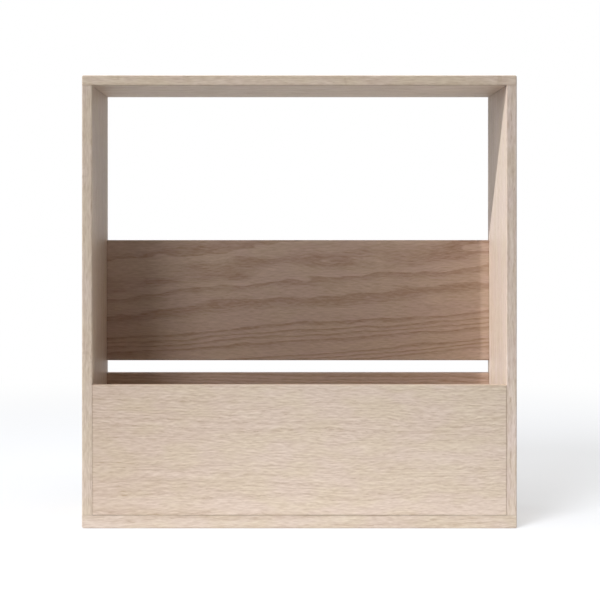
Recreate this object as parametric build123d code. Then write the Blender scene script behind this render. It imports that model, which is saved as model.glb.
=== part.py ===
from build123d import *
import os

# An open magazine file box of solid oak. A frame of four boards stands on its edge.
# One panel closes the foot of the front, and two panels with a slot between them close the back.
# Sizes are in millimetres. The origin is under the middle of the base, +Z is up,
# and the front panel faces -Y.

# Overall size
box_width = 384.0
box_depth = 120.0
box_height = 400.0

# Boards
frame_board = 9.0  # thickness of the top board and of both sides
base_board = 11.5  # thickness of the base, which is a little stronger
panel_board = 9.0  # thickness of the three panels
panel_height = 115.0
rear_gap = 12.0  # slot between the two rear panels

# Eased edges
corner_radius = 1.5  # the four long outside corners of the frame
outer_radius = 1.0  # outside edges, front and back
inner_radius = 0.8  # edges around the openings
panel_ease = 0.4  # bevel on a panel where it meets the frame
joint_ease = 0.2  # bevel on the ends of the sides

# Fluted dowels, all cut from the same rod
dowel_diameter = 5.0
dowel_length = 20.0
dowel_point = 0.6  # chamfer on each end of a dowel
flute_count = 12
flute_radius = 0.25
glue_gap = 0.05  # between a dowel and its hole, all round
glue_room = 0.5  # a hole runs this much past each end of its dowel
hole_floor = 2.5  # wood left beyond a blind hole in the face of a board

# Where the dowels stand
frame_dowel_count = 3
frame_dowel_inset = 18.0  # from the front and back faces to the nearest dowel
end_dowel_count = 3
end_dowel_inset = 20.0  # from the upper and lower edges of a panel
foot_dowel_count = 4
foot_dowel_inset = 45.0  # from the ends of a panel

# Planes that the boards share
half_width = box_width / 2
half_depth = box_depth / 2
inside_half_width = half_width - frame_board
underside_of_top = box_height - frame_board
lower_panel_top = base_board + panel_height
upper_panel_foot = lower_panel_top + rear_gap
upper_panel_top = upper_panel_foot + panel_height
front_panel_back = -half_depth + panel_board
rear_panel_front = half_depth - panel_board
front_panel_middle = -half_depth + panel_board / 2
rear_panel_middle = half_depth - panel_board / 2
side_middle = half_width - frame_board / 2
same_place = 0.001  # two coordinates this close are the same


def block(x_range, y_range, z_range):
    """A rectangular block that fills the three ranges."""
    sizes = [high - low for low, high in (x_range, y_range, z_range)]
    middles = [(high + low) / 2 for low, high in (x_range, y_range, z_range)]
    return Pos(*middles) * Box(*sizes)


full_width = (-half_width, half_width)
full_depth = (-half_depth, half_depth)
inside_width = (-inside_half_width, inside_half_width)
between_panels = (front_panel_back, rear_panel_front)
front_panel_depth = (-half_depth, front_panel_back)
rear_panel_depth = (rear_panel_front, half_depth)
lower_panel_range = (base_board, lower_panel_top)
upper_panel_range = (upper_panel_foot, upper_panel_top)
side_range = (base_board, underside_of_top)

BOARD_SPACES = {
    "base_board": (full_width, full_depth, (0, base_board)),
    "top_board": (full_width, full_depth, (underside_of_top, box_height)),
    "left_side": ((-half_width, -inside_half_width), full_depth, side_range),
    "right_side": ((inside_half_width, half_width), full_depth, side_range),
    "front_panel": (inside_width, front_panel_depth, lower_panel_range),
    "rear_lower_panel": (inside_width, rear_panel_depth, lower_panel_range),
    "rear_upper_panel": (inside_width, rear_panel_depth, upper_panel_range),
}


def near(value, wanted):
    """True where two coordinates agree."""
    return abs(value - wanted) < same_place


def open_box():
    """All seven boards as one block, before its edges are eased."""
    box = block(full_width, full_depth, (0, box_height))
    box -= block(inside_width, between_panels, side_range)
    box -= block(inside_width, front_panel_depth, (lower_panel_top, underside_of_top))
    box -= block(inside_width, rear_panel_depth, (lower_panel_top, upper_panel_foot))
    box -= block(inside_width, rear_panel_depth, (upper_panel_top, underside_of_top))
    return box


def long_corners(box):
    """The four outside edges that run from front to back."""
    return [
        edge
        for edge in box.edges().filter_by(Axis.Y)
        if near(abs(edge.center().X), half_width)
    ]


def outside_edges(box):
    """The edges around the front face and around the back face."""
    faces = box.faces().filter_by(Plane.XZ).sort_by(Axis.Y)
    return faces[0].outer_wire().edges() + faces[-1].outer_wire().edges()


def opening_edges(box):
    """The edges around the front opening and around both rear openings."""
    faces = box.faces().filter_by(Plane.XZ).sort_by(Axis.Y)
    wires = faces[0].inner_wires() + faces[-1].inner_wires()
    return [edge for wire in wires for edge in wire.edges()]


def inner_panel_edges(box):
    """The long edges of the three panels that face the inside of the box."""
    front = [(front_panel_back, lower_panel_top)]
    rear = [
        (rear_panel_front, height)
        for height in (lower_panel_top, upper_panel_foot, upper_panel_top)
    ]
    return [
        edge
        for edge in box.edges().filter_by(Axis.X)
        for depth, height in front + rear
        if near(edge.center().Y, depth) and near(edge.center().Z, height)
    ]


def eased_box():
    """The glued-up box, sanded round along every edge that a hand can reach."""
    box = open_box()
    box = fillet(long_corners(box), corner_radius)
    box = fillet(outside_edges(box), outer_radius)
    box = fillet(opening_edges(box), inner_radius)
    return fillet(inner_panel_edges(box), inner_radius)


def bevel_side(board):
    """Bevels both ends of a side, which leaves a fine line at the joint."""
    ends = board.faces().sort_by(Axis.Z)
    return chamfer(ends[0].edges() + ends[-1].edges(), joint_ease)


def bevel_panel(board, has_foot):
    """Bevels a panel's ends, and its foot where that stands on the base."""
    ends = board.faces().sort_by(Axis.X)
    edges = ends[0].edges() + ends[-1].edges()
    if has_foot:
        known = set(edges)
        foot = board.faces().sort_by(Axis.Z)[0].edges()
        edges = edges + [edge for edge in foot if edge not in known]
    return chamfer(edges, panel_ease)


def cut_boards():
    """The seven boards, cut from the eased box at the planes where they meet."""
    box = eased_box()
    boards = {name: box & block(*space) for name, space in BOARD_SPACES.items()}
    for name in ("left_side", "right_side"):
        boards[name] = bevel_side(boards[name])
    for name in ("front_panel", "rear_lower_panel"):
        boards[name] = bevel_panel(boards[name], has_foot=True)
    boards["rear_upper_panel"] = bevel_panel(boards["rear_upper_panel"], has_foot=False)
    return boards


def spread(count, low, high):
    """Evenly spaced places from low to high."""
    if count == 1:
        return [(low + high) / 2]
    return [low + (high - low) * index / (count - 1) for index in range(count)]


def frame_joint(side, plane_height, direction):
    """Places and direction of the dowels between a side and the top or the base."""
    places = spread(
        frame_dowel_count,
        -half_depth + frame_dowel_inset,
        half_depth - frame_dowel_inset,
    )
    points = [(side * side_middle, place, plane_height) for place in places]
    return points, (0, 0, direction)


def end_joint(side, depth, z_range):
    """Places and direction of the dowels between a side and one end of a panel."""
    heights = spread(
        end_dowel_count, z_range[0] + end_dowel_inset, z_range[1] - end_dowel_inset
    )
    points = [(side * inside_half_width, depth, height) for height in heights]
    return points, (-side, 0, 0)


def foot_joint(depth):
    """Places and direction of the dowels between the base and the foot of a panel."""
    places = spread(
        foot_dowel_count,
        -inside_half_width + foot_dowel_inset,
        inside_half_width - foot_dowel_inset,
    )
    return [(place, depth, base_board) for place in places], (0, 0, 1)


def dowel_joints():
    """Every joint: its name, its drilled face board, the board that stands on that, and its dowels."""
    joints = {}
    for side, word in ((-1, "left"), (1, "right")):
        name = f"{word}_side"
        joints[f"top_{word}_dowels"] = (
            "top_board",
            name,
            *frame_joint(side, underside_of_top, -1),
        )
        joints[f"base_{word}_dowels"] = (
            "base_board",
            name,
            *frame_joint(side, base_board, 1),
        )
        for panel, depth, z_range in (
            ("front_panel", front_panel_middle, lower_panel_range),
            ("rear_lower_panel", rear_panel_middle, lower_panel_range),
            ("rear_upper_panel", rear_panel_middle, upper_panel_range),
        ):
            joints[f"{panel}_{word}_dowels"] = (
                name,
                panel,
                *end_joint(side, depth, z_range),
            )
    for panel, depth in (
        ("front_panel", front_panel_middle),
        ("rear_lower_panel", rear_panel_middle),
    ):
        joints[f"{panel}_foot_dowels"] = ("base_board", panel, *foot_joint(depth))
    return joints


def depth_in_face(board):
    """How far a dowel enters the face of a board, with hole_floor of wood left beyond it."""
    thickness = base_board if board == "base_board" else frame_board
    return thickness - hole_floor - glue_room


def fluted_dowel():
    """One dowel on the Z axis from Z = 0, grooved along its length and pointed at both ends."""
    radius = dowel_diameter / 2
    rod = Cylinder(radius, dowel_length, align=(Align.CENTER, Align.CENTER, Align.MIN))
    rod = chamfer(rod.edges().filter_by(GeomType.CIRCLE), dowel_point)
    groove = Cylinder(
        flute_radius, dowel_length, align=(Align.CENTER, Align.CENTER, Align.MIN)
    )
    for turn in range(flute_count):
        rod -= Rot(0, 0, turn * 360 / flute_count) * Pos(radius, 0, 0) * groove
    return rod


def hole_for(in_face):
    """The round hole that takes a dowel, from the face board into the other one."""
    return Pos(0, 0, -in_face - glue_room) * Cylinder(
        dowel_diameter / 2 + glue_gap,
        dowel_length + 2 * glue_room,
        align=(Align.CENTER, Align.CENTER, Align.MIN),
    )


def main():
    """Builds every piece, drills the boards and writes one file for each node."""
    os.makedirs("parts", exist_ok=True)
    pieces = cut_boards()
    rod = fluted_dowel()
    for joint, (face_board, end_board, points, direction) in dowel_joints().items():
        in_face = depth_in_face(face_board)
        frames = [Plane(origin=point, z_dir=direction).location for point in points]
        holes = [frame * hole_for(in_face) for frame in frames]
        pieces[face_board] = pieces[face_board] - holes
        pieces[end_board] = pieces[end_board] - holes
        dowels = [frame * Pos(0, 0, -in_face) * rod for frame in frames]
        pieces[joint] = Compound(children=dowels)
    for name, piece in pieces.items():
        export_step(piece, f"parts/{name}.step")
        print(f"{name}: {len(piece.solids())} solids, {piece.volume:.1f} cubic mm")


main()
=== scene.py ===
# %% [markdown]
# # A magazine file box of pale oak
#
# The real box is seven thin oak boards. Four of them make a frame that stands on its edge, one closes
# the foot of the front, and two close the back with a slot between them. The boards are already built
# to size, with every edge eased, so nothing has to be modelled here. What is left is what makes it oak:
# the way each board was cut from its log, its pores and rays, its end grain, the small wear and painted
# shade on its edges, and the light that it stands in.
#
# The first cell loads the finished boards. They come in metres, with the box standing on z = 0 and its
# front facing -y.

from math import radians

import bpy
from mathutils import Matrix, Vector


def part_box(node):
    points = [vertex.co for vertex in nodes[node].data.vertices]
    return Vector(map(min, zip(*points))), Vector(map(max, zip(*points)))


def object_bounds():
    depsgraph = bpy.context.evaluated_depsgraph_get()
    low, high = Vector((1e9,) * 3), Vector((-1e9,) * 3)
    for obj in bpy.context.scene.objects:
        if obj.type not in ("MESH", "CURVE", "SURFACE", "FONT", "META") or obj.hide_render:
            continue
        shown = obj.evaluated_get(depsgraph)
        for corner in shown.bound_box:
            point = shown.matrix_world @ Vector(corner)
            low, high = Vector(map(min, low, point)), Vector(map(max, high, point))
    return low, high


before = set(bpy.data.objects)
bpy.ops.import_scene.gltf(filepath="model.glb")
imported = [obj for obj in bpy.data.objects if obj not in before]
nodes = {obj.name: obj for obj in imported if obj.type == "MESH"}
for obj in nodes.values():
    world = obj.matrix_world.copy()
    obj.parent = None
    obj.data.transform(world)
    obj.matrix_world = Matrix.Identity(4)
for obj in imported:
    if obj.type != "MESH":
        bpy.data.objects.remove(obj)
model_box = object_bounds()
size = model_box[1] - model_box[0]
print(f"{len(nodes)} nodes in a box {size.x:.3f} x {size.y:.3f} x {size.z:.3f} m")

# %% [markdown]
# ## The camera
#
# The box is seen straight from the front with the uprights parallel, and yet the eye is well above its
# middle. A camera that tilts down would make the uprights lean together. A view camera avoids that by
# sliding its lens instead, and Blender's camera has the same slide: shift. So the camera looks level
# along +y, and the shift brings the box into the middle of the picture.

# %% The camera
camera_place = (-0.0155, -1.376, 0.2657)
sensor_width = 36.0  # mm
focal_length = 89.46  # mm
lens_shift = (0.0303, -0.121)  # of the sensor's width, sideways and up
nearest = 0.02  # m, what lies closer than this isn't drawn

camera_data = bpy.data.cameras.new("camera")
camera_data.sensor_width = sensor_width
camera_data.lens = focal_length
camera_data.shift_x, camera_data.shift_y = lens_shift
camera_data.clip_start = nearest
camera = bpy.data.objects.new("camera", camera_data)
camera.location = camera_place
camera.rotation_euler = (radians(90), 0, 0)
bpy.context.scene.collection.objects.link(camera)
bpy.context.scene.camera = camera
bpy.context.scene.view_settings.view_transform = "Standard"
print(f"the camera stands {model_box[0].y - camera_place[1]:.3f} m in front of the box")

# %% [markdown]
# ## Helpers for nodes
#
# Every material below is a small net of nodes, and a net is quick to read when each node takes one line.
# These helpers make a node, fill its sockets and hand back what it puts out. A socket is filled in one
# of two ways: with a plain number, or with a link from another node.


# %% Small helpers
def fill(tree, socket, value):
    """Links a value that comes from another node, and writes a plain one into the socket."""
    if isinstance(value, bpy.types.NodeSocket):
        tree.links.new(value, socket)
    else:
        socket.default_value = value


def add(tree, kind, *values, **settings):
    """A node of that kind with its settings, and its sockets filled in order."""
    node = tree.nodes.new(kind)
    node.location = (180 * (len(tree.nodes) % 12), -220 * (len(tree.nodes) // 12))
    for name, setting in settings.items():
        setattr(node, name, setting)
    for socket, value in zip(node.inputs, values):
        fill(tree, socket, value)
    return node


def calc(tree, operation, *values, clamp=False):
    """One step of arithmetic on numbers."""
    node = add(tree, "ShaderNodeMath", *values, operation=operation, use_clamp=clamp)
    return node.outputs[0]


def calc_vector(tree, operation, *values):
    """One step of arithmetic on vectors."""
    node = add(tree, "ShaderNodeVectorMath", *values, operation=operation)
    return node.outputs["Vector"]


def step(tree, value, low, high, start=0.0, end=1.0):
    """Start below low, end above high, and a soft change between them."""
    node = add(
        tree, "ShaderNodeMapRange", value, low, high, start, end, interpolation_type="SMOOTHSTEP"
    )
    return node.outputs["Result"]


def blend(tree, share, first, second, kind="MIX"):
    """Mixes two colours."""
    node = add(tree, "ShaderNodeMix", data_type="RGBA", blend_type=kind)
    fill(tree, node.inputs[0], share)
    fill(tree, node.inputs[6], first)
    fill(tree, node.inputs[7], second)
    return node.outputs[2]


def grain_noise(tree, vector, grain_size, detail=1.0, roughness=0.5):
    """Noise whose grains have the given length, width and thickness in millimetres."""
    scaled = calc_vector(tree, "DIVIDE", vector, grain_size)
    node = add(tree, "ShaderNodeTexNoise", scaled, noise_dimensions="3D")
    node.inputs["Scale"].default_value = 1.0
    node.inputs["Detail"].default_value = detail
    node.inputs["Roughness"].default_value = roughness
    return node


def line_noise(tree, value, detail=0.0):
    """Noise along a single number."""
    node = add(tree, "ShaderNodeTexNoise", noise_dimensions="1D")
    fill(tree, node.inputs["W"], value)
    node.inputs["Scale"].default_value = 1.0
    node.inputs["Detail"].default_value = detail
    return node.outputs["Fac"]


def new_group(name, inputs, outputs):
    """An empty node group with named sockets. Returns it, what comes in and what it hands on, by name."""
    group = bpy.data.node_groups.new(name, "ShaderNodeTree")
    for socket_name, default in inputs.items():
        kind = "NodeSocketVector" if isinstance(default, tuple) else "NodeSocketFloat"
        socket = group.interface.new_socket(socket_name, in_out="INPUT", socket_type=kind)
        socket.default_value = default
    for socket_name, kind in outputs.items():
        group.interface.new_socket(socket_name, in_out="OUTPUT", socket_type=kind)
    entry = group.nodes.new("NodeGroupInput")
    exit_node = group.nodes.new("NodeGroupOutput")
    return group, entry.outputs, exit_node.inputs


def use_group(tree, group, **values):
    """Places a group in a material and fills its sockets by name, with _ for a space."""
    node = add(tree, "ShaderNodeGroup", node_tree=group)
    for name, value in values.items():
        fill(tree, node.inputs[name.replace("_", " ").capitalize()], value)
    return node.outputs


def new_material(name):
    """An empty material. Returns it with its node tree."""
    material = bpy.data.materials.new(name)
    material.use_nodes = True
    material.node_tree.nodes.clear()
    return material, material.node_tree


def output(tree, shader, kind="ShaderNodeOutputMaterial"):
    """Ends a material, or the world, with the shader that it shows."""
    tree.links.new(shader.outputs[0], add(tree, kind).inputs["Surface"])


def wood_surface(tree, colour, roughness, height, bump_strength, bump_distance):
    """The one shader of a wood, with a bump that is bump_distance metres deep."""
    bump = add(tree, "ShaderNodeBump")
    bump.inputs["Strength"].default_value = bump_strength
    bump.inputs["Distance"].default_value = bump_distance
    fill(tree, bump.inputs["Height"], height)
    surface = add(tree, "ShaderNodeBsdfPrincipled")
    fill(tree, surface.inputs["Base Color"], colour)
    fill(tree, surface.inputs["Roughness"], roughness)
    fill(tree, surface.inputs["Normal"], bump.outputs["Normal"])
    output(tree, surface)


print("helpers are ready")

# %% [markdown]
# ## How a board lies in its log
#
# Oak is not a picture glued to a surface. The figure goes right through the board, and each face shows
# another cut of it: lines on the wide face, closer lines on the edge, arcs on the end. An image can't
# do that, and a pattern worked out in space does it for nothing.
#
# So every wood effect below works in millimetres in one common space: x runs along the grain, y across
# the width of the board, and z through its thickness. Each board is turned into that space by a Mapping
# node, and shifted to a place of its own, because no two boards come from the same part of the log.
#
# Grain is never quite straight. The first group bends the space a little, so that everything that is
# drawn in it afterwards wavers together.

# %% Wavering grain
WAVER_LONG = (140.0, 34.0, 34.0)  # mm, the slow bends
WAVER_SHORT = (38.0, 9.0, 9.0)  # mm, the small ones beside them
SHORT_SHARE = 0.5


def build_grain_flow():
    """Bends the wood's space across the grain, by up to Waver millimetres."""
    group, entry, leave = new_group(
        "grain flow", {"Vector": (0.0, 0.0, 0.0), "Waver": 2.0}, {"Vector": "NodeSocketVector"}
    )
    bends = []
    for size_mm, share in ((WAVER_LONG, 1.0), (WAVER_SHORT, SHORT_SHARE)):
        noise = grain_noise(group, entry["Vector"], size_mm).outputs["Color"]
        centred = calc_vector(group, "SUBTRACT", noise, (0.5, 0.5, 0.5))
        bends.append(calc_vector(group, "MULTIPLY", centred, (0.0, 2.0 * share, 2.0 * share)))
    bend = calc_vector(group, "ADD", *bends)
    scale = add(group, "ShaderNodeVectorMath", bend, operation="SCALE")
    fill(group, scale.inputs["Scale"], entry["Waver"])
    moved = calc_vector(group, "ADD", entry["Vector"], scale.outputs["Vector"])
    fill(group, leave["Vector"], moved)
    return group


grain_flow = build_grain_flow()
print("group:", grain_flow.name)

# %% [markdown]
# ## Growth rings
#
# A log is a bundle of tubes round its heart, one for each year. A board is a slice of it, and where the
# heart lies decides the figure: near the board's face it draws wide flames, and off to the side it draws
# close straight lines. So the rings are made as real rings: the distance from the heart, divided by the
# width of a year. The year width drifts, since years differ.
#
# Each year starts with a band full of wide vessels, the earlywood, and ends with a dense one. The group
# hands on how far a point is into the earlywood, a shade for the year, and the directions along and
# around the ring, which the rays need later.

# %% Growth rings
YEAR_DRIFT = 0.4  # steps of noise per year, how fast the widths of the years change
YEAR_DRIFT_SIZE = 1.5  # years, how far a ring lies from its even place
SHADE_DRIFT = 0.7  # steps of noise per year, how fast their shades change
EARLY_OPENS = (0.0, 0.08)  # of a year, where the earlywood sets in
EARLY_CLOSES = (0.15, 0.7)  # of a year, where it thins out into the latewood
RING_WANDER = (90.0, 16.0, 16.0)  # mm
AROUND_RADIUS = 100.0  # mm, turns an angle into a length


def build_growth_rings():
    """Rings round the heart of the log, which lies Heart across and Heart below the board's middle."""
    group, entry, leave = new_group(
        "growth rings",
        {
            "Vector": (0.0, 0.0, 0.0),
            "Heart across": 60.0,
            "Heart below": -60.0,
            "Slope": 0.0,
            "Year": 2.6,
            "Wander": 2.0,
        },
        {
            "Earlywood": "NodeSocketFloat",
            "Year shade": "NodeSocketFloat",
            "Ring space": "NodeSocketVector",
        },
    )
    parts = add(group, "ShaderNodeSeparateXYZ", entry["Vector"]).outputs
    lean = calc(group, "MULTIPLY", parts["X"], entry["Slope"])
    across = calc(group, "ADD", calc(group, "SUBTRACT", parts["Y"], entry["Heart across"]), lean)
    below = calc(group, "SUBTRACT", parts["Z"], entry["Heart below"])
    squares = calc(group, "ADD", calc(group, "POWER", across, 2.0), calc(group, "POWER", below, 2.0))
    radius = calc(group, "SQRT", squares)
    wander_noise = grain_noise(group, entry["Vector"], RING_WANDER, detail=2.0).outputs["Fac"]
    wander = calc(group, "MULTIPLY", calc(group, "SUBTRACT", wander_noise, 0.5), entry["Wander"])
    wandered = calc(group, "MULTIPLY_ADD", wander, 2.0, radius)
    count = calc(group, "DIVIDE", wandered, entry["Year"])
    drift = calc(group, "SUBTRACT", line_noise(group, calc(group, "MULTIPLY", count, YEAR_DRIFT)), 0.5)
    years = calc(group, "MULTIPLY_ADD", drift, 2.0 * YEAR_DRIFT_SIZE, count)
    part_of_year = calc(group, "FRACT", years)
    opening = step(group, part_of_year, *EARLY_OPENS)
    closing = step(group, part_of_year, *EARLY_CLOSES, 1.0, 0.0)
    fill(group, leave["Earlywood"], calc(group, "MULTIPLY", opening, closing))
    shade = line_noise(group, calc(group, "MULTIPLY", years, SHADE_DRIFT), detail=1.0)
    fill(group, leave["Year shade"], shade)
    around = calc(group, "MULTIPLY", calc(group, "ARCTAN2", below, across), AROUND_RADIUS)
    space = add(group, "ShaderNodeCombineXYZ", parts["X"], around, radius)
    fill(group, leave["Ring space"], space.outputs[0])
    return group


growth_rings = build_growth_rings()
print("group:", growth_rings.name)

# %% [markdown]
# ## Pores, fibres and rays
#
# Three fine things are drawn inside the rings. **Pores** are the vessels, cut open lengthwise: dark
# dashes a third of a millimetre wide, crowded in the earlywood. **Fibres** are the fine streaks between
# them, and beside each dark one lies a paler one, a painted highlight on the lit wall of its groove.
# **Rays** are thin sheets that run out from the heart like spokes, and they show as short dark lines on
# one face and as long flecks on the next. All three are stretched noise, and each differs only in how
# long, wide and thick its grains are, and in which space it is stretched.

# %% Pores, fibres and rays
PORE_GRAIN = (11.0, 0.42, 0.42)  # mm
PORE_CUT = 0.62  # noise above this is a pore, in the middle of the earlywood
PORE_SPARSE = 0.13  # how much higher the cut is in the dense latewood
SOFT_RIM = 0.05  # noise, from the rim of a pore or a ray to its full depth


def build_pores():
    """The open vessels: 1 in a pore and 0 between them."""
    group, entry, leave = new_group(
        "pores", {"Vector": (0.0, 0.0, 0.0), "Earlywood": 0.5}, {"Pores": "NodeSocketFloat"}
    )
    noise = grain_noise(group, entry["Vector"], PORE_GRAIN).outputs["Fac"]
    missing = calc(group, "SUBTRACT", 1.0, entry["Earlywood"])
    cut = calc(group, "MULTIPLY_ADD", missing, PORE_SPARSE, PORE_CUT)
    fill(group, leave["Pores"], step(group, calc(group, "SUBTRACT", noise, cut), 0.0, SOFT_RIM))
    return group


HIGHLIGHT_SHIFT = (0.0, 1.6, 0.0)  # widths of a fibre, from a dark streak to the painted highlight beside it
HIGHLIGHT_SHARE = 0.3  # how strong the painted highlight is beside the dark streak
FIBRE_CONTRAST = 3.0  # brings the noise to about -1 to 1


def build_fibres():
    """Fine streaks, from -1 to 1, and beside each a weaker opposite one: painted highlight and shade, as on
    the two walls of a groove.
    """
    group, entry, leave = new_group(
        "fibres",
        {"Vector": (0.0, 0.0, 0.0), "Length": 9.0, "Width": 0.9},
        {"Fibres": "NodeSocketFloat"},
    )
    size_mm = add(group, "ShaderNodeCombineXYZ", entry["Length"], entry["Width"], entry["Width"])
    beside = calc_vector(group, "MULTIPLY_ADD", size_mm.outputs[0], HIGHLIGHT_SHIFT, entry["Vector"])
    streaks = []
    for place in (entry["Vector"], beside):
        noise = grain_noise(group, place, size_mm.outputs[0], detail=1.5, roughness=0.6)
        streaks.append(calc(group, "SUBTRACT", noise.outputs["Fac"], 0.5))
    pair = calc(group, "MULTIPLY_ADD", streaks[1], -HIGHLIGHT_SHARE, streaks[0])
    fill(group, leave["Fibres"], calc(group, "MULTIPLY", pair, FIBRE_CONTRAST))
    return group


RAY_GRAIN = (8.0, 0.5, 26.0)  # mm along the grain, around the ring and out from the heart


def build_rays():
    """The sheets of the rays: 1 in a ray and 0 between them."""
    group, entry, leave = new_group(
        "rays", {"Ring space": (0.0, 0.0, 0.0), "Cut": 0.66}, {"Rays": "NodeSocketFloat"}
    )
    noise = grain_noise(group, entry["Ring space"], RAY_GRAIN).outputs["Fac"]
    over = calc(group, "SUBTRACT", noise, entry["Cut"])
    fill(group, leave["Rays"], step(group, over, 0.0, SOFT_RIM))
    return group


pores = build_pores()
fibres = build_fibres()
rays = build_rays()
print("groups:", pores.name, fibres.name, rays.name, sep=" ")

# %% [markdown]
# ## End grain, eased edges and joints
#
# Where a board is sawn across, the cut vessels drink oil and turn darker. The surface's own direction
# tells where that is: it points along the grain.
#
# Hands and sandpaper leave the arrises, the rounded edges, a little smoother than the faces. They are
# also painted a little darker: painted shade, where the rounding turns away from the light. A rendered
# edge effect usually asks the renderer how sharp the mesh is, which an exported model can't keep. A board
# is a block, so the same mask comes from plain arithmetic: a point on the surface lies on an arris when it
# is close to two of the block's faces at once, so the middle one of its three distances is small.
#
# A butt joint shows as a hair line of painted shade, where its gap lies in shadow: dark where the fit
# is a little open and gone where it is tight. It takes the same arithmetic with the one distance to the
# faces that meet another board.

# %% End grain, edges and joints
END_FACING = (0.45, 0.9)  # how squarely the surface faces along the grain
ARRIS_GRAIN = (9.0, 9.0, 9.0)  # mm, how quickly the worn and shaded band changes along an arris
ARRIS_LEAST = 0.2  # of Reach, where the band is narrowest
ARRIS_MORE = 1.6  # of Reach, what the noise adds to that
ARRIS_FADE = (0.3, 1.0)  # of the reach, where the band begins to fade and where it is gone
JOINT_GRAIN = (45.0, 45.0, 45.0)  # mm, how long a joint stays open or tight
JOINT_FIT = (0.38, 0.56)  # noise below the first is a tight joint, and above the second an open one
JOINT_REACH = (0.15, 1.2)  # of Reach, in a tight joint and in an open one
JOINT_FADE = (0.4, 1.0)  # of the reach, where the shade begins to fade and where it is gone


def build_end_grain():
    """1 where the surface faces along the grain."""
    group, entry, leave = new_group(
        "end grain", {"Normal": (0.0, 0.0, 1.0), "Along": (1.0, 0.0, 0.0)}, {"End": "NodeSocketFloat"}
    )
    dot = add(group, "ShaderNodeVectorMath", entry["Normal"], entry["Along"], operation="DOT_PRODUCT")
    facing = calc(group, "ABSOLUTE", dot.outputs["Value"])
    fill(group, leave["End"], step(group, facing, *END_FACING))
    return group


def build_arris_mask():
    """1 on a block's arrises, fading to 0 at Reach from them. Vector, Centre and Half size are in mm."""
    group, entry, leave = new_group(
        "arris wear and shade",
        {
            "Vector": (0.0, 0.0, 0.0),
            "Centre": (0.0, 0.0, 0.0),
            "Half size": (10.0, 10.0, 10.0),
            "Reach": 1.5,
        },
        {"Edge": "NodeSocketFloat"},
    )
    from_centre = calc_vector(group, "SUBTRACT", entry["Vector"], entry["Centre"])
    inward = calc_vector(
        group, "SUBTRACT", entry["Half size"], calc_vector(group, "ABSOLUTE", from_centre)
    )
    x, y, z = add(group, "ShaderNodeSeparateXYZ", inward).outputs
    smaller = calc(group, "MINIMUM", x, y)
    larger = calc(group, "MAXIMUM", x, y)
    middle = calc(group, "MAXIMUM", smaller, calc(group, "MINIMUM", larger, z))
    ragged = grain_noise(group, entry["Vector"], ARRIS_GRAIN, detail=2.0).outputs["Fac"]
    share = calc(group, "MULTIPLY_ADD", ragged, ARRIS_MORE, ARRIS_LEAST)
    reach = calc(group, "MULTIPLY", entry["Reach"], share)
    fill(group, leave["Edge"], step(group, calc(group, "DIVIDE", middle, reach), *ARRIS_FADE, 1.0, 0.0))
    return group


def build_joint_line():
    """1 in a joint, fading to 0 at Reach from it. Low and High are the planes of the joints, in mm."""
    group, entry, leave = new_group(
        "joint line",
        {
            "Vector": (0.0, 0.0, 0.0),
            "Low": (-10.0, -10.0, -10.0),
            "High": (10.0, 10.0, 10.0),
            "Reach": 0.42,
        },
        {"Joint": "NodeSocketFloat"},
    )
    over = calc_vector(group, "SUBTRACT", entry["Vector"], entry["Low"])
    under = calc_vector(group, "SUBTRACT", entry["High"], entry["Vector"])
    x, y, z = add(group, "ShaderNodeSeparateXYZ", calc_vector(group, "MINIMUM", over, under)).outputs
    distance = calc(group, "MINIMUM", calc(group, "MINIMUM", x, y), z)
    fit = grain_noise(group, entry["Vector"], JOINT_GRAIN, detail=3.0).outputs["Fac"]
    reach = calc(group, "MULTIPLY", entry["Reach"], step(group, fit, *JOINT_FIT, *JOINT_REACH))
    part_of_reach = calc(group, "DIVIDE", distance, reach)
    fill(group, leave["Joint"], step(group, part_of_reach, *JOINT_FADE, 1.0, 0.0))
    return group


end_grain = build_end_grain()
arris_wear_and_shade = build_arris_mask()
joint_line = build_joint_line()
print("groups:", end_grain.name, arris_wear_and_shade.name, joint_line.name, sep=" ")

# %% [markdown]
# ## The oak
#
# The material puts the effects together in the order in which they lie in real wood. Darker wood is not
# just darker: it is browner, because it loses more blue than red. So everything that lightens or darkens
# the wood, such as fibres, years and earlywood, is first added up to one number, and that number then
# moves the colour along one line from pale to brown. A slow drift between a pink and a yellow cast, the
# rays, the pores, the end grain, and the painted shade of the arrises and the joints come on top. The
# finish is a matt oil, so it is rough, with a bump as fine as the pores.
#
# One function makes the oak of every board. What differs from board to board is how it was cut: where the
# heart lies, how the grain slopes and wavers, its place in the log, how strong its figure is, and a tint.
# The rear panels' darker, browner tint is partly painted shade, and the right side's paler, bluer one is
# partly a painted sheen and painted light.

# %% The oak of one board
MM = 1000.0  # Object coordinates are in metres
OAK = (0.708, 0.586, 0.478, 1.0)
DARKENING = (0.82, 1.06, 1.28)  # how much of each colour is lost where the wood is darker
RAY_BROWN = (0.560, 0.430, 0.320, 1.0)
PORE_BROWN = (0.460, 0.320, 0.200, 1.0)
PINK_CAST = (1.014, 0.994, 1.012, 1.0)
YELLOW_CAST = (1.004, 1.000, 0.960, 1.0)
WHITE = (1.0, 1.0, 1.0, 1.0)
END_SHADE = (0.800, 0.760, 0.720, 1.0)
# painted shade on the arrises, where their rounding turns away from the light
EDGE_SHADE = (0.930, 0.920, 0.910, 1.0)
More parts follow.
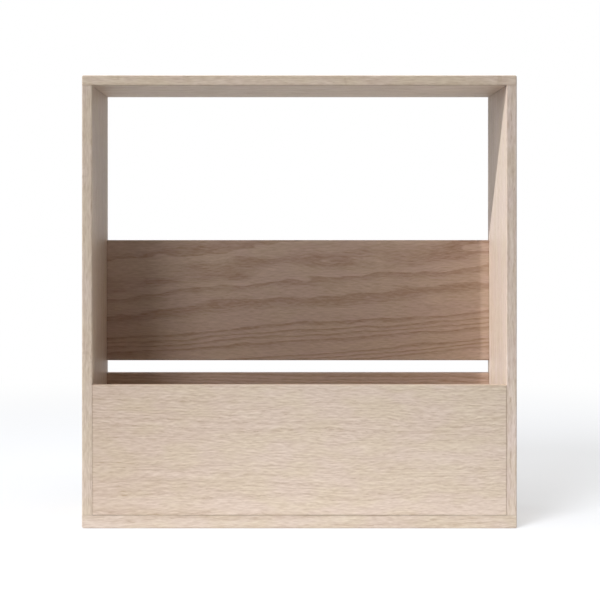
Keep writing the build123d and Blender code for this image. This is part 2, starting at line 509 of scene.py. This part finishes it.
# painted shade in the gap of a butt joint
JOINT_SHADE = (0.340, 0.250, 0.190, 1.0)
FINE = {"length": 8.0, "width": 1.1}  # mm, the fine fibres
BROAD = {"length": 60.0, "width": 4.0}  # mm, the broad streaks
FINE_STRENGTH = 0.20
BROAD_STRENGTH = 0.05
YEAR_STRENGTH = 0.07
CAST_GRAIN = (34.0, 15.0, 15.0)  # mm, the size of a pink or a yellow patch
CAST_RANGE = (0.35, 0.65)  # noise below the first is pink, and above the second yellow
RAY_STRENGTH = 0.4
PORE_STRENGTH = 0.7
DARKER_END_REACH = 170.0  # mm, how far the darker end fades into the board
OIL_ROUGHNESS = 0.54
PORE_ROUGHNESS = 0.2  # added in a pore
FINE_ROUGHNESS = 0.05  # added on a pale fibre
EDGE_ROUGHNESS = -0.08  # added on an arris
FLAT_HEIGHT = 0.5  # all heights are shares of BUMP_DISTANCE
FINE_HEIGHT = 0.35
PORE_HEIGHT = -1.0
EARLY_HEIGHT = -0.2
BUMP_STRENGTH = 0.6
BUMP_DISTANCE = 0.00014  # m

# How a board is turned so that x lies along its grain and z through its thickness
LEVEL_FLAT = ((0.0, 0.0, 0.0), (1.0, 0.0, 0.0))
LEVEL_UPRIGHT = ((radians(-90), 0.0, 0.0), (1.0, 0.0, 0.0))
STANDING = ((0.0, radians(90), 0.0), (0.0, 0.0, 1.0))

# How far outside the board the shade of a joint is centred, in mm
OPEN = 0.0
TIGHT = 0.42
FREE = 1000.0  # nothing meets the board there
NO_JOINTS = ((FREE, FREE, FREE), (FREE, FREE, FREE))
ENDS = ((TIGHT, FREE, FREE), (TIGHT, FREE, FREE))
ENDS_AND_FOOT = ((TIGHT, FREE, OPEN), (FREE, FREE, FREE))


def oak_material(
    node_name, turn, log_place, heart, slope, waver, year, figure, joints, tint, darker_left_end=0.0
):
    """The oak of one board. Log_place, heart, waver and year are in millimetres."""
    material, tree = new_material("oak " + node_name)
    rotation, along = turn
    low, high = (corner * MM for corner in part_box(node_name))

    coordinates = add(tree, "ShaderNodeTexCoord").outputs
    in_mm = calc_vector(tree, "MULTIPLY", coordinates["Object"], (MM, MM, MM))
    mapping = add(tree, "ShaderNodeMapping", in_mm, log_place, rotation)
    flow = use_group(tree, grain_flow, vector=mapping.outputs[0], waver=waver)["Vector"]
    rings = use_group(
        tree,
        growth_rings,
        vector=flow,
        heart_across=heart[0] + log_place[1],
        heart_below=heart[1] + log_place[2],
        slope=slope,
        year=year,
    )
    early = rings["Earlywood"]
    fine = use_group(tree, fibres, vector=flow, **FINE)["Fibres"]
    broad = use_group(tree, fibres, vector=flow, **BROAD)["Fibres"]
    ray = use_group(tree, rays, ring_space=rings["Ring space"])["Rays"]
    pore = use_group(tree, pores, vector=flow, earlywood=early)["Pores"]
    end = use_group(tree, end_grain, normal=coordinates["Normal"], along=along)["End"]
    edge = use_group(
        tree, arris_wear_and_shade, vector=in_mm, centre=(low + high) / 2, half_size=(high - low) / 2
    )["Edge"]
    joint = use_group(
        tree, joint_line, vector=in_mm, low=low - Vector(joints[0]), high=high + Vector(joints[1])
    )["Joint"]

    light = calc(tree, "MULTIPLY", fine, FINE_STRENGTH)
    light = calc(tree, "MULTIPLY_ADD", broad, BROAD_STRENGTH, light)
    year_light = calc(tree, "SUBTRACT", rings["Year shade"], 0.5)
    light = calc(tree, "MULTIPLY_ADD", year_light, YEAR_STRENGTH, light)
    light = calc(tree, "MULTIPLY_ADD", early, -figure, light)
    # the board is made darker towards its left end
    if darker_left_end:
        from_left = add(tree, "ShaderNodeSeparateXYZ", in_mm).outputs["X"]
        end_darkening = step(tree, from_left, low.x, low.x + DARKER_END_REACH, -darker_left_end, 0.0)
        light = calc(tree, "ADD", light, end_darkening)
    lightness = calc_vector(tree, "MULTIPLY_ADD", light, DARKENING, (1.0, 1.0, 1.0))
    cast_noise = grain_noise(tree, flow, CAST_GRAIN, detail=2.0).outputs["Fac"]
    cast = blend(tree, step(tree, cast_noise, *CAST_RANGE), PINK_CAST, YELLOW_CAST)
    colour = blend(tree, 1.0, blend(tree, 1.0, OAK, lightness, "MULTIPLY"), cast, "MULTIPLY")
    colour = blend(tree, calc(tree, "MULTIPLY", ray, RAY_STRENGTH), colour, RAY_BROWN)
    colour = blend(tree, calc(tree, "MULTIPLY", pore, PORE_STRENGTH), colour, PORE_BROWN)
    # darker end grain, and painted shade on the arrises and in the joints
    for mask, shade in ((end, END_SHADE), (edge, EDGE_SHADE), (joint, JOINT_SHADE)):
        colour = blend(tree, 1.0, colour, blend(tree, mask, WHITE, shade), "MULTIPLY")
    colour = blend(tree, 1.0, colour, (*tint, 1.0), "MULTIPLY")

    roughness = calc(tree, "MULTIPLY_ADD", pore, PORE_ROUGHNESS, OIL_ROUGHNESS)
    roughness = calc(tree, "MULTIPLY_ADD", fine, FINE_ROUGHNESS, roughness)
    roughness = calc(tree, "MULTIPLY_ADD", edge, EDGE_ROUGHNESS, roughness)
    height = calc(tree, "MULTIPLY_ADD", fine, FINE_HEIGHT, FLAT_HEIGHT)
    height = calc(tree, "MULTIPLY_ADD", pore, PORE_HEIGHT, height)
    height = calc(tree, "MULTIPLY_ADD", early, EARLY_HEIGHT, height)
    wood_surface(tree, colour, roughness, height, BUMP_STRENGTH, BUMP_DISTANCE)
    return material


BOARDS = {
    "base_board": {
        "turn": LEVEL_FLAT,
        "log_place": (130.0, 410.0, 35.0),
        "heart": (70.0, -45.0),
        "slope": 0.01,
        "waver": 2.2,
        "year": 2.7,
        "figure": 0.06,
        "joints": NO_JOINTS,
        "tint": (1.02, 1.035, 1.045),
    },
    "top_board": {
        "turn": LEVEL_FLAT,
        "log_place": (-510.0, -220.0, 60.0),
        "heart": (-30.0, -40.0),
        "slope": 0.03,
        "waver": 2.2,
        "year": 2.4,
        "figure": 0.12,
        "joints": NO_JOINTS,
        "tint": (1.02, 1.02, 1.0),
    },
    "left_side": {
        "turn": STANDING,
        "log_place": (320.0, 90.0, 15.0),
        "heart": (-60.0, -50.0),
        "slope": 0.01,
        "waver": 2.2,
        "year": 2.8,
        "figure": 0.06,
        "joints": NO_JOINTS,
        "tint": (0.985, 0.99, 0.995),
    },
    "right_side": {
        "turn": STANDING,
        "log_place": (-240.0, 150.0, -95.0),
        "heart": (65.0, -55.0),
        "slope": -0.01,
        "waver": 2.6,
        "year": 2.6,
        "figure": 0.08,
        "joints": NO_JOINTS,
        # paler and bluer than the other boards: partly its own tone, partly a painted sheen and painted
        # light on this side
        "tint": (1.065, 1.085, 1.14),
    },
    "front_panel": {
        "turn": LEVEL_UPRIGHT,
        "log_place": (75.0, 530.0, 20.0),
        "heart": (-40.0, -75.0),
        "slope": 0.015,
        "waver": 3.4,
        "year": 2.7,
        "figure": 0.07,
        "joints": ENDS_AND_FOOT,
        "tint": (1.04, 1.045, 1.05),
        "darker_left_end": 0.10,
    },
    "rear_lower_panel": {
        "turn": LEVEL_UPRIGHT,
        "log_place": (640.0, 20.0, 12.0),
        "heart": (30.0, 60.0),
        "slope": 0.02,
        "waver": 2.6,
        "year": 3.6,
        "figure": 0.20,
        "joints": ENDS_AND_FOOT,
        # partly browner oak, partly painted shade on the inside of the back
        "tint": (0.81, 0.72, 0.695),
    },
    "rear_upper_panel": {
        "turn": LEVEL_UPRIGHT,
        "log_place": (-90.0, -330.0, 44.0),
        "heart": (240.0, 15.0),
        "slope": -0.08,
        "waver": 4.2,
        "year": 6.4,
        "figure": 0.24,
        "joints": ENDS,
        # partly browner oak, partly painted shade on the inside of the back
        "tint": (0.81, 0.72, 0.695),
    },
}

for node_name, cut in BOARDS.items():
    nodes[node_name].material_slots[0].material = oak_material(node_name, **cut)
print(len(BOARDS), "boards have their oak")

# %% [markdown]
# ## The beech of the dowels
#
# Dowels are hidden in the joints, so nobody sees them until the box is taken apart. Then they should
# still be beech: even and pinkish, without rings to speak of, but sprinkled with small brown ray flecks.
# The same fibre and ray groups make it, with other values.

# %% The beech of the dowels
BEECH = (0.640, 0.450, 0.300, 1.0)
BEECH_FLECK = (0.430, 0.260, 0.150, 1.0)
BEECH_FIBRE = {"length": 6.0, "width": 0.4}  # mm
BEECH_FIBRE_STRENGTH = 0.18
FLECK_SQUEEZE = (4.0, 1.5, 6.0)  # how much smaller a fleck is than a ray of the oak
FLECK_CUT = 0.6
FLECK_STRENGTH = 0.6
BEECH_END = 0.78  # how light the end grain is beside the rest
BEECH_ROUGHNESS = 0.7
BEECH_FIBRE_ROUGHNESS = 0.08
BEECH_BUMP_STRENGTH = 0.4
BEECH_BUMP_DISTANCE = 0.0001  # m


def beech_material(name, rotation, along):
    """Raw beech with its grain along the dowel."""
    material, tree = new_material(name)
    coordinates = add(tree, "ShaderNodeTexCoord").outputs
    in_mm = calc_vector(tree, "MULTIPLY", coordinates["Object"], (MM, MM, MM))
    mapping = add(tree, "ShaderNodeMapping", in_mm, (0.0, 0.0, 0.0), rotation).outputs[0]
    fine = use_group(tree, fibres, vector=mapping, **BEECH_FIBRE)["Fibres"]
    squeezed = calc_vector(tree, "MULTIPLY", mapping, FLECK_SQUEEZE)
    fleck = use_group(tree, rays, ring_space=squeezed, cut=FLECK_CUT)["Rays"]
    end = use_group(tree, end_grain, normal=coordinates["Normal"], along=along)["End"]
    light = calc(tree, "MULTIPLY_ADD", fine, BEECH_FIBRE_STRENGTH, 1.0)
    light = calc(tree, "MULTIPLY", light, step(tree, end, 0.0, 1.0, 1.0, BEECH_END))
    light_colour = add(tree, "ShaderNodeCombineXYZ", light, light, light).outputs[0]
    colour = blend(tree, 1.0, BEECH, light_colour, "MULTIPLY")
    colour = blend(tree, calc(tree, "MULTIPLY", fleck, FLECK_STRENGTH), colour, BEECH_FLECK)
    roughness = calc(tree, "MULTIPLY_ADD", fine, BEECH_FIBRE_ROUGHNESS, BEECH_ROUGHNESS)
    wood_surface(tree, colour, roughness, fine, BEECH_BUMP_STRENGTH, BEECH_BUMP_DISTANCE)
    return material


upright_beech = beech_material("beech upright dowel", *STANDING)
level_beech = beech_material("beech level dowel", *LEVEL_FLAT)
dowel_nodes = [name for name in nodes if name.endswith("_dowels")]
for name in dowel_nodes:
    stands = name.startswith(("top_", "base_")) or name.endswith("foot_dowels")
    nodes[name].material_slots[0].material = upright_beech if stands else level_beech
print(len(dowel_nodes), "sets of dowels have their beech")

# %% [markdown]
# ## The floor and the white around it
#
# The box stands in a white studio. The white must not come from brighter lamps, because those would
# bleach the oak as well. It comes from what the camera is shown: the world is plain white to the camera
# and to reflections, and a soft dim light to everything else. The floor is a real pale floor that takes
# the box's shadow and throws light back up at it. What the camera sees of it is partly that white close to
# the box, and wholly white far away, so its shadow is soft and no horizon shows.

# %% Floor and world
FLOOR_SIZE = 6.0  # m, edge length
FLOOR_DROP = 0.0001  # m, so that the floor and the underside of the base don't fight
TABLE_ALBEDO = 0.92  # how much light the table top throws back
TABLE_RIM = (0.28, 0.60)  # m from the middle of the box, where the table top begins to darken and ends
SEEN_FLOOR = 0.96  # how pale the floor looks to the camera
NEAR_WHITE = 0.45  # how much of the white it shows close to the box
WHITE_FADE = (0.45, 1.30)  # m from the middle of the box, where it begins to whiten and is all white
AMBIENT = (0.90, 0.94, 1.0, 1.0)
AMBIENT_STRENGTH = 0.03


def seen_directly(tree):
    """1 for a ray from the camera, off a mirror or through glass."""
    path = add(tree, "ShaderNodeLightPath").outputs
    seen = calc(tree, "ADD", path["Is Camera Ray"], path["Is Glossy Ray"])
    return calc(tree, "ADD", seen, path["Is Transmission Ray"], clamp=True)


floor_mesh = bpy.data.meshes.new("floor")
half = FLOOR_SIZE / 2
corners = [(x * half, y * half, -FLOOR_DROP) for x, y in ((-1, -1), (1, -1), (1, 1), (-1, 1))]
floor_mesh.from_pydata(corners, [], [(0, 1, 2, 3)])
floor = bpy.data.objects.new("floor", floor_mesh)
bpy.context.scene.collection.objects.link(floor)

floor_paint, tree = new_material("studio floor")
place = add(tree, "ShaderNodeTexCoord").outputs["Object"]
distance = add(tree, "ShaderNodeVectorMath", place, operation="LENGTH").outputs["Value"]
white_share = step(tree, distance, *WHITE_FADE, NEAR_WHITE, 1.0)
seen = seen_directly(tree)
bounce = step(tree, distance, *TABLE_RIM, TABLE_ALBEDO, 0.0)
albedo = step(tree, seen, 0.0, 1.0, bounce, SEEN_FLOOR)
albedo_colour = add(tree, "ShaderNodeCombineXYZ", albedo, albedo, albedo).outputs[0]
matt = add(tree, "ShaderNodeBsdfDiffuse", albedo_colour)
glow = add(tree, "ShaderNodeEmission", WHITE, 1.0)
mixed = add(tree, "ShaderNodeMixShader", calc(tree, "MULTIPLY", white_share, seen))
tree.links.new(matt.outputs[0], mixed.inputs[1])
tree.links.new(glow.outputs[0], mixed.inputs[2])
output(tree, mixed)
floor_mesh.materials.append(floor_paint)

world = bpy.data.worlds.new("studio")
world.use_nodes = True
tree = world.node_tree
tree.nodes.clear()
seen = seen_directly(tree)
dim = add(tree, "ShaderNodeBackground", AMBIENT, AMBIENT_STRENGTH)
white = add(tree, "ShaderNodeBackground", WHITE, 1.0)
mixed = add(tree, "ShaderNodeMixShader", seen)
tree.links.new(dim.outputs[0], mixed.inputs[1])
tree.links.new(white.outputs[0], mixed.inputs[2])
output(tree, mixed, "ShaderNodeOutputWorld")
bpy.context.scene.world = world
print("the floor is", FLOOR_SIZE, "m wide")

# %% [markdown]
# ## The lamps
#
# The key lamp is small and far away on the left, a little in front of the box and above it, so its rays are
# parallel and its shadows sharp: that is what a sun lamp is for. It only grazes the front, but it shines
# straight onto the inner face of the right side, where the top board draws a slanting shadow. A wide soft
# box hangs over the table. It lights the table top, and the table lights the box from below, which is why
# the front is palest at its foot. A second soft box, in front and to the left, fills the front.
#
# A sharp key would also draw a hard shadow on the table, where the real one is soft. Light linking says
# which objects a lamp shines on. So the key leaves the floor out, and a broad, low sun that shines on
# nothing but the floor draws its shadow instead. The top of the box is nearer to the overhead lamp than
# the table is, and would lose its grain in the glare of a lamp that is strong enough for the table. So
# the table has a lamp more at the same place, which shines on nothing but the floor either. Both lamps
# of the table are a little blue, like the daylight that falls on a table in a room.
#
# Two weak level lamps, one behind the box and one at its right, show the grain on the faces that would
# lie in the dark. Neither is noticed from the front, because their rays run along the inner faces and
# not onto them. They are left out of reflections too, or they would put a sheen on the faces they graze.

# %% Lamps
# Direction, strength, and how wide the lamp looks from the box, in radians
KEY = ((3.23, 1.0, -1.18), 2.17, 0.003)
TABLE_SUN = ((0.485, 0.72, -0.5), 2.0, 0.5)
BACK_FILL = ((0.0, -1.0, 0.0), 0.7, 0.1)
RIGHT_FILL = ((-1.0, 0.0, 0.0), 0.7, 0.1)
# Place, target, width and depth, in metres
OVERHEAD = ((0.0, -0.3, 2.1), (0.0, -0.3, 0.0), 1.8, 1.6)
FRONT_FILL = ((-1.7, -2.6, 1.5), (0.0, 0.0, 0.2), 1.2, 1.2)
OVERHEAD_POWER = 31.0  # W
TABLE_POWER = 14.0  # W
FRONT_FILL_POWER = 30.0  # W
TABLE_BLUE = (0.93, 0.985, 1.09)  # the colour of both lamps that shine on the floor alone


def place_lamp(data, place, direction):
    """Puts a lamp in the scene, shining in that direction, and hides it from the camera."""
    lamp = bpy.data.objects.new(data.name, data)
    lamp.location = place
    lamp.rotation_euler = Vector(direction).to_track_quat("-Z", "Y").to_euler()
    lamp.visible_camera = False
    bpy.context.scene.collection.objects.link(lamp)
    print(data.name, "at", [round(value, 2) for value in place], data.energy)
    return lamp


def sun(name, direction, strength, angle):
    """A lamp so far away that only its direction counts."""
    data = bpy.data.lights.new(name, "SUN")
    data.energy = strength
    data.angle = angle
    return place_lamp(data, -Vector(direction), direction)


def soft_box(name, place, target, width, depth, power):
    """A soft rectangular lamp that faces its target. Power is in watts."""
    data = bpy.data.lights.new(name, "AREA")
    data.shape = "RECTANGLE"
    data.size = width
    data.size_y = depth
    data.energy = power
    return place_lamp(data, place, Vector(target) - Vector(place))


def link_light(lamp, link_state):
    """Lets a lamp shine on nothing but the floor, with INCLUDE, or on all but it, with EXCLUDE."""
    receivers = bpy.data.collections.new(lamp.name + " and the floor")
    receivers.objects.link(floor)
    receivers.collection_objects[0].light_linking.link_state = link_state
    lamp.light_linking.receiver_collection = receivers


link_light(sun("key", *KEY), "EXCLUDE")
table_light = sun("table light", *TABLE_SUN)
soft_box("overhead", *OVERHEAD, OVERHEAD_POWER)
table_box = soft_box("table box", *OVERHEAD, TABLE_POWER)
soft_box("fill", *FRONT_FILL, FRONT_FILL_POWER)
for lamp in (table_light, table_box):
    link_light(lamp, "INCLUDE")
    lamp.data.color = TABLE_BLUE
for lamp in (sun("back fill", *BACK_FILL), sun("right fill", *RIGHT_FILL)):
    link_light(lamp, "EXCLUDE")
    lamp.visible_glossy = False

# %% [markdown]
# ## The end
#

# %% The end
print("the box is dressed and lit")
